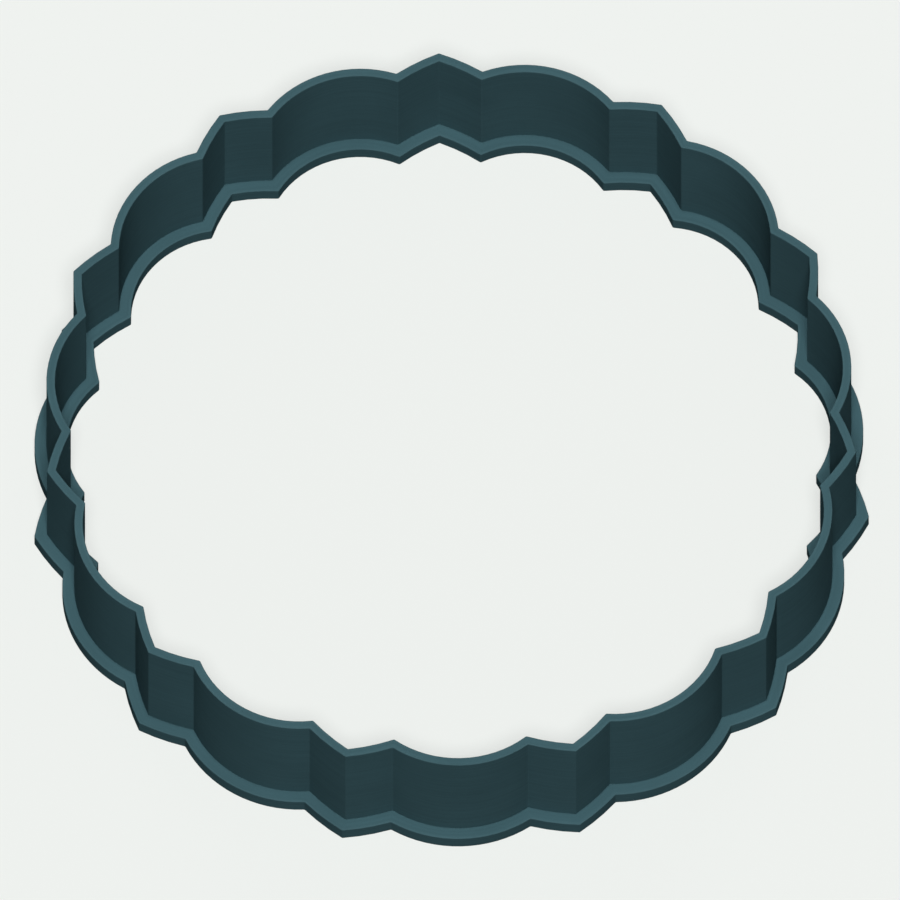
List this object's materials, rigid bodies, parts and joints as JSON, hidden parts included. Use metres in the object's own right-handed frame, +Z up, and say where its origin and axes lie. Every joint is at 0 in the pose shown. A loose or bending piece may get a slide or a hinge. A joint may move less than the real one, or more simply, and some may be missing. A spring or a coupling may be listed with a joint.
{
  "type": "cookie cutter",
  "caption": "Rosette cookie cutter in printed plastic: a thin upright cutting wall of round scallops and pointed tabs on a flat grip flange, open right through.",
  "frame": {"origin": "on the rosette's axis, in the plane of the flange's underside that the cutter stands on", "axes": "+Z up along the rosette's axis, from the grip flange to the cutting edge; +Y over the tip of one pointed tab; +X to the right, seen from above"},
  "size_m": [0.0772, 0.0776, 0.0135],
  "materials": {
    "printed_plastic": "matte"
  },
  "bodies": {
    "root": {"grip_flange": "printed_plastic", "cutting_wall": "printed_plastic"}
  },
  "joints": []
}
